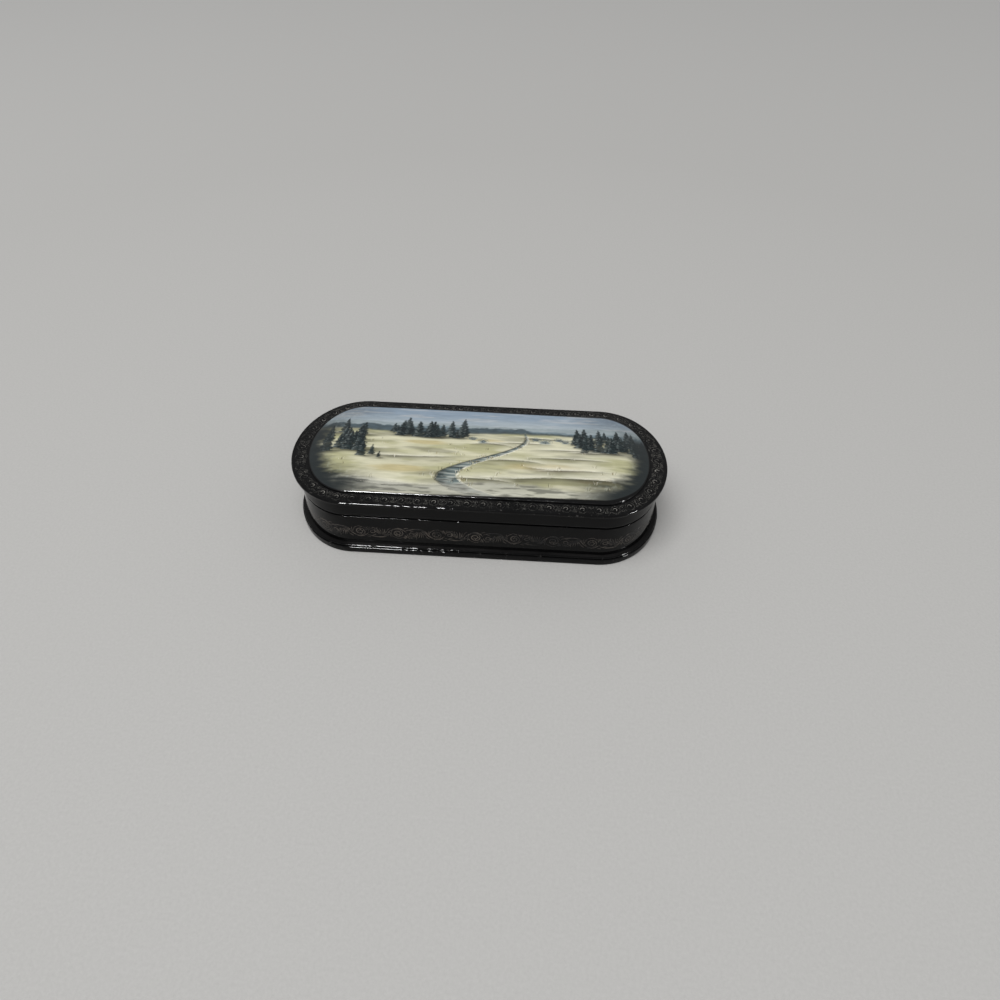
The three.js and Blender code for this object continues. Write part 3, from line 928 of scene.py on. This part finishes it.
class CASE_OT_panel(bpy.types.Operator):
    """Domed lid panel with its painting"""

    bl_idname = "eyeglass_case.panel"
    bl_label = "Painted Panel"

    def execute(self, context):
        sizes, finish = context.scene.case_sizes, finishes(context)
        edge, bottom = inset("lid_panel"), low("lid_panel")
        rounding, crown = sizes.panel_round, sizes.panel_crown
        level = panel_level()
        seat = -sizes.border_width - sizes.ledge_width
        vault = np.linspace(0, 1, 13)[:-1]
        under = np.stack([0 * vault + seat, bottom + crown * (1 - vault**2)], axis=-1)
        rounded = arc(edge - rounding, level - rounding, rounding, 0, 90, 7)
        side = np.concatenate([[(seat, bottom), (edge, bottom)], rounded])
        share = np.linspace(1, 0, 105)[1:]
        over_top = np.stack([0 * share + edge - rounding, level + crown * (1 - share**2)], axis=-1)
        profile = np.concatenate([under, side, over_top])
        shares = np.concatenate([vault, np.ones(len(side)), share])
        ends_in = end_inset("lid_panel")
        path = even_path(sizes, straight_steps=210, end_steps=160)
        points = carried(sizes, path, profile, shares, ends_in)
        # The vault and its seat face the inside
        bands = np.zeros(len(profile) - 1, int)
        bands[: len(vault) + 1] = 1
        materials = [finish["paint"], finish["red"]]
        panel = swept_piece("panel", points, materials, ring=False, row_material=bands)
        place = piece_points(panel)
        along, across = place[:, 0] / MM, place[:, 1] / MM
        paint = landscape(along, across, context.scene.paint_colours)
        _, share = dome(sizes, place[:, 0], place[:, 1])
        ramp = smooth(-40, 55, along) * smooth(74, 60, along)
        margin = np.where(across < 0, 1.6, 1.0) * ramp - 0.3
        bare = smooth(0.25, -0.25, from_edge(share) - margin)
        step = smooth(0.85 * rounding, 1.1 * rounding, level - place[:, 2])
        paint = over(paint, context.scene.case_colours.black, np.maximum(bare, step))
        set_attribute(panel.data, "dull", smooth(0.3, 0.0, from_edge(share)))
        set_attribute(panel.data, "paint", paint)
        settle(panel, "lid", "painted_lacquer", "lid_panel")
        return {"FINISHED"}


def bow(start, middle, end, count=STROKE_POINTS):
    """Curves of so many points through their ends, bent towards their middle points.

    The places are mixed by (1 - part) squared, twice part times (1 - part), and part squared. A
    place is x and y, each a number, or an array with one value for each curve.
    """
    part = np.linspace(0, 1, count)[:, None]
    start, middle, end = (np.stack(place, axis=-1)[..., None, :] for place in (start, middle, end))
    return (1 - part) ** 2 * start + 2 * part * (1 - part) * middle + part**2 * end


def dragged_strokes(pick, tints):
    """Level strokes over sky, snow and ice in the colour under them, a little lighter or darker."""
    count = 700
    x, y = pick.uniform(-70, 70, count), pick.uniform(-26, 25, count)
    long, slope = pick.uniform(0.9, 4.2, count), pick.normal(0, 0.05, count)
    middle = (x, y + pick.uniform(-0.4, 0.4, count))
    lines = bow((x - long, y - slope * long), middle, (x + long, y + slope * long))
    tint = landscape(x, y, tints) * pick.uniform(0.86, 1.12, count)[:, None]
    return lines, pick.uniform(0.07, 0.2, count), tint


def fir_strokes(pick, tints):
    """Drooping boughs down both sides of every fir, shaded below and frosted above."""
    rows = np.repeat(fir_rows(), 20, axis=0)
    place, foot, tall = rows.T
    count = len(rows)
    rise, side = pick.uniform(0.02, 0.95, count), pick.choice([-1.0, 1.0], count)
    wide = 0.30 * tall * (1 - rise) ** 0.85 * pick.uniform(0.45, 1.1, count) + 0.15
    root, drop = foot + tall * rise, 0.09 * tall * pick.uniform(0.4, 1.2, count)
    start, end = (place + 0.1 * side * wide, root), (place + side * wide, root - drop)
    lines = bow(start, (place + 0.6 * side * wide, root + 0.25 * drop), end)
    frost = np.clip(pick.normal(-0.32, 0.3, count) + 0.2 * (side < 0), 0, 0.85)
    return lines, 0.011 * tall * pick.uniform(0.6, 1.5, count), over(tints.fir, tints.frost, frost)


def shrub_strokes(pick, tints):
    """Low round shrubs along the far bank: dark stems under domes of dabs, frosted on the left."""
    place, foot, wide = shrub_rows().T
    bush = np.repeat(np.arange(len(place)), 9)
    count = len(bush)
    lean = pick.uniform(-0.9, 0.9, count) * wide[bush]
    x, y = place[bush] + 0.12 * lean, foot[bush] - 0.15 * wide[bush]
    stems = bow((x, y), (x + 0.2 * lean, y + 0.5 * wide[bush]), (x + lean, y + wide[bush]))
    stem_tint = over(tints.fir, tints.shadow, pick.uniform(0, 0.6, count))
    groups = [(stems, np.full(count, 0.06), stem_tint)]
    bush = np.repeat(np.arange(len(place)), 170)
    count = len(bush)
    turn, away = pick.uniform(0, np.pi, count), np.sqrt(pick.uniform(0, 1, count))
    x = place[bush] + wide[bush] * away * np.cos(turn)
    y = foot[bush] + 0.25 * wide[bush] + 0.85 * wide[bush] * away * np.sin(turn)
    dab, droop = pick.uniform(-0.25, 0.25, count), pick.uniform(0.2, 0.5, count)
    lit = away * np.sin(turn + 0.5)
    tint = over(tints.fir, tints.hills, pick.uniform(0.1, 0.9, count))
    frost = np.clip(1.5 * lit - 0.75 + pick.normal(0, 0.25, count), 0, 0.9)
    tint = over(tint, tints.frost, frost)
    order = np.argsort(lit)
    dabs = bow((x, y), (x + dab, y - 0.2 * droop), (x + dab, y - droop))
    groups.append((dabs[order], pick.uniform(0.04, 0.09, count), tint[order]))
    return tuple(np.concatenate(parts) for parts in zip(*groups))


def grass_strokes(pick, tints):
    """Upright blades in tufts along the banks and in the hollows, dark, dry or frosted."""
    tufts = 90
    level = pick.uniform(-23, 7, tufts)
    middle, half = stream(level)
    on_bank = pick.uniform(0, 1, tufts) < 0.45
    side = pick.choice([-1.0, 1.0], tufts)
    bank = middle + side * (half + pick.uniform(0.2, 1.6, tufts))
    place = np.where(on_bank, bank, pick.uniform(-62, 62, tufts))
    tuft = np.repeat(np.arange(tufts), 8)
    count = len(tuft)
    x, y = place[tuft] + pick.normal(0, 0.55, count), level[tuft] + pick.normal(0, 0.12, count)
    tall = pick.uniform(0.5, 1.7, count) * (1.15 - 0.025 * level[tuft])
    lean = pick.normal(0, 0.35, count)
    tint = over(tints.shadow, tints.ochre, pick.uniform(-0.4, 1.1, count))
    tint = np.where((pick.uniform(0, 1, count) < 0.2)[:, None], np.asarray(tints.light), tint)
    lines = bow((x, y), (x + 0.2 * lean, y + 0.6 * tall), (x + lean, y + tall))
    return lines, pick.uniform(0.035, 0.075, count), tint


def bank_strokes(pick, tints):
    """Long strokes along both banks of the stream and under the crests of the drifts."""
    level, step = np.linspace(8.5, -25, 42), 0.9

    def bank(share):
        points = []
        for shift in (step, 0, -step):
            middle, half = stream(level + shift)
            points.append((middle + share * half, level + shift))
        return bow(*points)

    place, y, wide, slope, swell = drift_rows().T
    side, climb = 0.9 * wide, 0.9 * slope * wide
    crest = bow((place - side, y - climb), (place, y + 1.6 * swell), (place + side, y + climb))
    lines = [bank(-1.04), bank(1.05), crest, crest + np.array([0.0, 0.22])]
    count, rows = len(level), len(place)
    ranges = ((0.03, 0.14, 2 * count), (0.06, 0.13, rows), (0.08, 0.15, rows))
    widths = [pick.uniform(*limits) for limits in ranges]
    colours = [
        over(tints.fir, tints.shadow, pick.uniform(0, 0.7, count)),
        over(tints.shadow, tints.light, pick.uniform(0.2, 1.1, count)),
        over(tints.fir, tints.shadow, pick.uniform(0.3, 1.0, rows)),
        over(tints.snow, tints.light, pick.uniform(0.2, 1.1, rows)),
    ]
    return tuple(np.concatenate(parts) for parts in (lines, widths, colours))


class CASE_OT_brushwork(bpy.types.Operator):
    """Raised brush strokes of the painting: snow, banks, boughs, shrubs and grass"""

    bl_idname = "eyeglass_case.brushwork"
    bl_label = "Brushwork"

    def execute(self, context):
        sizes, finish = context.scene.case_sizes, finishes(context)
        tints = context.scene.paint_colours
        pick = np.random.default_rng(31)
        layers = (
            (dragged_strokes, 0.004),
            (bank_strokes, 0.006),
            (fir_strokes, 0.010),
            (shrub_strokes, 0.013),
            (grass_strokes, 0.015),
        )
        made = [layer(pick, tints) for layer, _ in layers]
        lines, half, tint = (np.concatenate(parts) for parts in zip(*made))
        rise = np.repeat([rise for _, rise in layers], [len(group[0]) for group in made]) * MM
        lines, half = lines * MM, half * MM
        _, share = dome(sizes, lines[..., 0], lines[..., 1])
        middle = lines[:, STROKE_POINTS // 2] / MM
        tint = over(tint, tints.slate, 0.9 * end_fade(middle[:, 0], middle[:, 1], 0.0))
        right_limit, left_limit = 0.935, 0.985
        kept = share.max(axis=1) < np.where(middle[:, 0] > 0, right_limit, left_limit)

        def place(flat, lift):
            height, _ = dome(sizes, flat[..., 0], flat[..., 1])
            return np.concatenate([flat, (height + lift)[..., None]], axis=-1)

        points, faces = ridges(lines[kept], half[kept], rise[kept], place)
        paint = np.clip(np.repeat(tint[kept], lines.shape[1] * 3, axis=0), 0, 1)
        strokes = make_piece("brushwork", points, faces, [finish["paint"]], crease=80, paint=paint)
        settle(strokes, "lid", "painted_lacquer")
        return {"FINISHED"}


def ridges(centre, half_width, rise, place):
    """Closed three-sided ridges along centre lines, laid on the case by a placing function.

    centre is (ridges, points, 2). The two lower edges lie half a width to each side, a little under
    the surface, and the crest rises in the middle by each ridge's rise. Both taper to nothing at the
    ends. place turns flat points and their lift into points on the case.
    """
    count = centre.shape[1]
    taper = np.sin(np.linspace(0, np.pi, count)) ** 0.45
    along = np.gradient(centre, axis=1)
    along /= np.maximum(np.linalg.norm(along, axis=-1, keepdims=True), 1e-9)
    across = np.stack([-along[..., 1], along[..., 0]], axis=-1)
    across = across * (half_width[:, None] * taper)[..., None]
    sunk = np.full(centre.shape[:2], -0.004 * MM)
    crest = sunk + np.asarray(rise).reshape(-1, 1) * taper
    points = np.stack(
        [place(centre + across, sunk), place(centre, crest), place(centre - across, sunk)], axis=2
    )
    strip = np.arange(len(centre))[:, None, None] * count * 3
    step = np.arange(count - 1)[None, :, None] * 3
    corner = np.arange(3)[None, None, :]
    after = (corner + 1) % 3
    near, far = strip + step, strip + step + 3
    quads = [near + corner, near + after, far + after, far + corner]
    return points, np.stack(quads, axis=-1).reshape(-1, 4)


def spiral(count, centre, start_radius, end_radius, start, turns):
    """One spiral: its radius shrinks evenly while its angle turns."""
    part = np.linspace(0, 1, count)
    radius = start_radius + (end_radius - start_radius) * part
    angles = start + 2 * np.pi * turns * part
    places = [centre[0] + radius * np.cos(angles), centre[1] + radius * np.sin(angles)]
    return np.stack(places, axis=-1)[None]


def leaves(count, centre, radii, turns, angles):
    """Curved leaves round a centre, at angles: each is a bow through three radii at three turns."""
    x, y = centre
    places = [(x + r * np.cos(angles + t), y + r * np.sin(angles + t)) for r, t in zip(radii, turns)]
    return bow(*places, count)


def bows(count, rows):
    """One bow for each row of a start, a middle and an end."""
    return bow(*np.transpose(rows, (1, 2, 0)), count)


def outline_table(sizes, offset):
    """Distance along an outline with the spine and lean at each step, to look places up in."""
    path = even_path(sizes, straight_steps=400, end_steps=900)
    ring = carried(sizes, path, [(offset, 0.0)])[0]
    gaps = np.linalg.norm(np.diff(ring, axis=0, append=ring[:1]), axis=1)
    distance = np.concatenate([[0], np.cumsum(gaps)])
    looped = [np.append(values, values[0]) for values in path]
    return distance, looped


def laid(sizes, table, s, offset, ends_in, height):
    """Points at distances along an outline, moved out by an offset, their ends further in."""
    distance, looped = table
    wrapped = np.mod(s, distance[-1])
    spine, lean_x, lean_y = (np.interp(wrapped, distance, values) for values in looped)
    x = spine + (sizes.end_depth + offset - ends_in) * lean_x
    return np.stack([x, (LID_HALF_WIDTH + offset) * lean_y, height], axis=-1)


def repeated(motif, count, pitch, turned):
    """A motif of lines repeated along an outline, every second one turned over where it says so."""
    index = np.arange(count)
    flip = np.where(turned & (index % 2 == 1), -1.0, 1.0)
    lines = np.repeat(motif[None], count, axis=0)
    lines[..., 1] *= flip[:, None, None]
    lines[..., 0] += (index * pitch)[:, None, None]
    return lines.reshape(-1, *motif.shape[1:])


def even_pitch(table, pitch):
    """An even number of repeats round an outline near a pitch, and the pitch that then fits."""
    around = table[0][-1]
    count = int(2 * round(around / pitch / 2))
    return count, around / count


class CASE_OT_filigree(bpy.types.Operator):
    """Fine running scroll on the lid's border"""

    bl_idname = "eyeglass_case.filigree"
    bl_label = "Border Filigree"

    def execute(self, context):
        sizes, finish = context.scene.case_sizes, finishes(context)
        bottom, border = low("lid_plate"), high("lid_plate")
        top, curve = bottom + sizes.plate_thickness, sizes.plate_round
        run, ends_in = sizes.border_width - curve, end_inset("lid_panel")
        middle = -curve - 0.52 * run
        table = outline_table(sizes, middle)
        drawn, eye, each = 6.9, (3.45, 0.0), FILIGREE_POINTS
        count, pitch = even_pitch(table, drawn * MM)
        side, x = np.repeat([1, -1], 6), np.tile(np.linspace(-1.0, 1.0, 6), 2)
        ferns = (x, 0.45 * side), (x + 0.2 * side, 1.1 * side), (x - 0.15 * side, 1.9 * side)
        around = np.linspace(0, 2 * np.pi, 19)[:-1]
        motif = [
            spiral(each, eye, 1.1, 0.5, 2.6, 0.85),
            spiral(each, (0.1, -0.5), 0.1, 0.06, 0.0, 1.0),
            bows(each, [((-0.9, 0.1), (0.0, 0.45), (0.9, -0.1))]),
            leaves(each, eye, (1.55, 1.95, 2.3), (0, 0.1, 0.4), around),
            bow(*ferns, each),
        ]
        motif = (pitch / drawn) * np.concatenate(motif)
        lines = repeated(motif, count, pitch, turned=False)
        pick = np.random.default_rng(5)
        half = pick.uniform(0.022, 0.046, len(lines)) * MM
        heavy_lines, heavier = 2, 4.4
        half.reshape(count, -1)[:, :heavy_lines] *= heavier

        def place(flat, lift):
            offset = middle + flat[..., 1]
            across = (-offset - curve) / run
            height = top + (border - top) * across + lift
            return laid(sizes, table, flat[..., 0], offset, ends_in * across, height)

        points, faces = ridges(lines, half, 0.014 * MM, place)
        scroll = make_piece("filigree", points, faces[:, ::-1], [finish["filigree"]], crease=80)
        settle(scroll, "lid", "black_lacquer")
        return {"FINISHED"}


class CASE_OT_scroll(bpy.types.Operator):
    """Broad leafy scroll round the lower part of the base wall"""

    bl_idname = "eyeglass_case.scroll"
    bl_label = "Wall Scroll"

    def execute(self, context):
        sizes, finish = context.scene.case_sizes, finishes(context)
        out, bottom = inset("base_wall"), low("base_wall")
        table = outline_table(sizes, out)
        drawn, roundel, bud, root = 16, (4.2, 0.1), (9.4, 0.5), (12.8, -2.2)
        each = SCROLL_POINTS
        count, pitch = even_pitch(table, drawn * MM)
        middle = bottom + 7.1 * MM
        stems = (
            ((-0.6, 2.3), (0.3, -1.6), (2.4, -1.6)),
            ((2.0, -1.7), (5.0, -4.2), (7.8, -0.3)),
            ((7.2, -1.6), (11.5, -3.6), (15.4, -2.3)),
        )
        sprays = (
            (roundel, (2.65, 3.25, 3.0), (0, 0.12, 0.42), np.linspace(0.3, 5.3, 14)),
            (roundel, (1.6, 1.25, 0.7), (0, -0.5, -0.7), np.linspace(0.4, 5.2, 5)),
            (root, (1.0, 2.9, 4.7), (0, -0.2, 0.1), np.linspace(0.3, 2.3, 9)),
            (bud, (1.95, 2.5, 2.35), (0, -0.12, -0.5), np.linspace(0.2, 2.7, 6)),
        )
        fillers = (
            ((0.2, -0.6), (1.0, -0.2), (1.2, 0.8)),
            ((0.6, 0.9), (1.1, 1.6), (0.9, 2.5)),
            ((-0.4, -1.2), (0.2, -2.2), (1.2, -2.7)),
            ((7.2, 1.2), (7.0, 2.2), (7.8, 2.9)),
            ((8.6, -2.4), (9.6, -1.5), (11.0, -1.2)),
            ((6.6, -2.6), (7.4, -3.2), (8.6, -3.1)),
            ((11.3, 1.6), (11.9, 2.2), (11.7, 3.0)),
        )
        motif = [
            spiral(each, roundel, 2.5, 0.35, -2.4, 2.0),
            spiral(each, bud, 1.8, 0.3, 3.6, -1.5),
            bows(each, stems),
            *[leaves(each, *spray) for spray in sprays],
            bows(each, fillers),
            spiral(each, (6.9, 2.6), 0.45, 0.1, 2.6, 1.2),
            spiral(each, (14.9, 0.1), 0.5, 0.1, 1.0, 1.2),
        ]
        motif = (pitch / drawn) * np.concatenate(motif)
        lines = repeated(motif, count, pitch, turned=True)
        pick = np.random.default_rng(6)
        half = pick.uniform(0.1, 0.22, len(lines)) * MM
        heavy_lines, heavier = 5, 1.5
        half.reshape(count, -1)[:, :heavy_lines] *= heavier
        lines = lines + pick.normal(0, 0.1, (len(lines), 1, 2)) * MM

        def place(flat, lift):
            return laid(sizes, table, flat[..., 0], out + lift, 0.0, middle + flat[..., 1])

        points, faces = ridges(lines, half, 0.03 * MM, place)
        scroll = make_piece("wall_scroll", points, faces, [finish["scroll"]], crease=80)
        settle(scroll, "base", "black_lacquer")
        return {"FINISHED"}


class CASE_OT_hinge(bpy.types.Operator):
    """Brass finish on the hinge leaves, pin and brads"""

    bl_idname = "eyeglass_case.hinge"
    bl_label = "Hinge Brass"

    def execute(self, context):
        brass = finishes(context)["brass"]
        for name, node in frame["nodes"].items():
            if name.startswith("hinge") or "brad" in name:
                node.data.materials.clear()
                node.data.materials.append(brass)
        return {"FINISHED"}


def lamp(name, place, aim, size_x, size_y, power):
    """A soft rectangular lamp turned towards a point."""
    light = bpy.data.lights.new(name, "AREA")
    light.shape, light.size, light.size_y, light.energy = "RECTANGLE", size_x, size_y, power
    made = bpy.data.objects.new(name, light)
    made.location = place
    made.rotation_euler = (Vector(aim) - Vector(place)).to_track_quat("-Z", "Y").to_euler()
    bpy.context.scene.collection.objects.link(made)
    return made


class CASE_OT_stage(bpy.types.Operator):
    """Floor, lamps, even surrounding light and the camera"""

    bl_idname = "eyeglass_case.stage"
    bl_label = "Stage"

    def execute(self, context):
        stage = context.scene.case_stage
        self.floor(stage)
        key = lamp("key", (-0.3, -0.5, 1.9), (0, 0, 0.02), 1.3, 1.3, stage.key)
        key.visible_glossy = False
        for name, place, wide, tall, share in (
            ("window", (-0.235, -0.60, 0.66), 0.13, 0.26, 1.0),
            ("side_window", (0.76, -0.39, 0.48), 0.10, 0.16, 0.45),
        ):
            pane = lamp(name, place, (-0.03, 0, 0.02), wide, tall, share * stage.window)
            pane.visible_diffuse = False
        world = bpy.data.worlds.new("even light")
        world.use_nodes = True
        around = world.node_tree.nodes["Background"]
        around.inputs["Color"].default_value = (1.0, 1.0, 1.0, 1.0)
        around.inputs["Strength"].default_value = stage.world
        context.scene.world = world
        self.camera(context, stage)
        return {"FINISHED"}

    @staticmethod
    def floor(stage):
        """A flat floor, its height the same all over, with a fine grain, paler far from the case:
        painted light that makes up for the lamp light falling off there.
        """
        reach_out, cells = 8.0, 8
        span = np.linspace(-reach_out, reach_out, cells + 1)
        x, y = np.meshgrid(span, span)
        points = np.stack([x, y, 0 * x - 0.05 * MM], axis=-1)
        cell = np.arange(cells)[:, None] * (cells + 1) + np.arange(cells)[None, :]
        corners = [cell, cell + 1, cell + cells + 2, cell + cells + 1]
        faces = np.stack(corners, axis=-1).reshape(-1, 4)
        finish = Finish("cloth")
        fibre = finish.noise(900, 4, 0.6)
        cloth = finish.blend(finish.span(fibre, 0.3, 0.7, 0, 1), scaled(stage.floor, 0.93), stage.floor)
        # Painted light: the cloth turns near white with distance, so the far floor, which the lamps
        # light less, matches the even backdrop
        away = finish.node("ShaderNodeVectorMath", None, {0: finish.place}, operation="LENGTH")
        far = finish.span(away.outputs["Value"], 0.45, 5.0, 0, 1)
        finish.feed(
            Base_Color=finish.blend(far, cloth, (0.97, 0.97, 0.965)),
            Roughness=0.9,
            Specular_IOR_Level=0.0,
        )
        finish.bump(fibre, strength=0.2, depth=0.0004)
        make_piece("floor_cloth", points, faces, [finish.material])

    @staticmethod
    def camera(context, stage):
        """The camera, from its yaw, pitch and roll and its distance to the aim."""
        yaw, pitch, roll = stage.yaw, stage.pitch, stage.roll
        ahead = Vector((sin(yaw) * cos(pitch), cos(yaw) * cos(pitch), -sin(pitch)))
        right = Vector((cos(yaw), -sin(yaw), 0))
        up = right.cross(ahead)
        side = right * cos(roll) + up * sin(roll)
        top = up * cos(roll) - right * sin(roll)
        data = bpy.data.cameras.new("camera")
        data.lens, data.sensor_width, data.clip_start = stage.lens, 36.0, 0.01
        camera = bpy.data.objects.new("camera", data)
        place = Vector((stage.target_x, stage.target_y, 0)) - ahead * stage.distance
        turned = Matrix((side, top, -ahead)).transposed().to_4x4()
        camera.matrix_world = Matrix.Translation(place) @ turned
        context.scene.collection.objects.link(camera)
        context.scene.camera = camera
        context.scene.view_settings.view_transform = "Standard"


class CASE_PT_panel(bpy.types.Panel):
    """Lists the steps that build the case"""

    bl_idname = "CASE_PT_panel"
    bl_label = "Eyeglass Case"
    bl_space_type = "VIEW_3D"
    bl_region_type = "UI"
    bl_category = "Eyeglass Case"

    def draw(self, context):
        for operator in OPERATORS:
            self.layout.operator(operator.bl_idname)
        for group in GROUPS:
            holder = getattr(context.scene, group)
            column = self.layout.column()
            for name in type(holder).__annotations__:
                column.prop(holder, name)


GROUPS = {
    "case_sizes": CaseSizes,
    "case_colours": CaseColours,
    "paint_colours": PaintColours,
    "case_stage": CaseStage,
}
OPERATORS = (
    CASE_OT_foot,
    CASE_OT_walls,
    CASE_OT_lid,
    CASE_OT_panel,
    CASE_OT_brushwork,
    CASE_OT_filigree,
    CASE_OT_scroll,
    CASE_OT_hinge,
    CASE_OT_stage,
)


def register():
    for item in (*GROUPS.values(), *OPERATORS, CASE_PT_panel):
        bpy.utils.register_class(item)
    for name, group in GROUPS.items():
        setattr(bpy.types.Scene, name, PointerProperty(type=group))


def unregister():
    for name in GROUPS:
        delattr(bpy.types.Scene, name)
    for item in (CASE_PT_panel, *OPERATORS[::-1], *list(GROUPS.values())[::-1]):
        bpy.utils.unregister_class(item)


def main():
    register()
    bpy.ops.eyeglass_case.foot()
    bpy.ops.eyeglass_case.walls()
    bpy.ops.eyeglass_case.lid()
    bpy.ops.eyeglass_case.panel()
    bpy.ops.eyeglass_case.brushwork()
    bpy.ops.eyeglass_case.filigree()
    bpy.ops.eyeglass_case.scroll()
    bpy.ops.eyeglass_case.hinge()
    bpy.ops.eyeglass_case.stage()


if __name__ == "__main__":
    main()
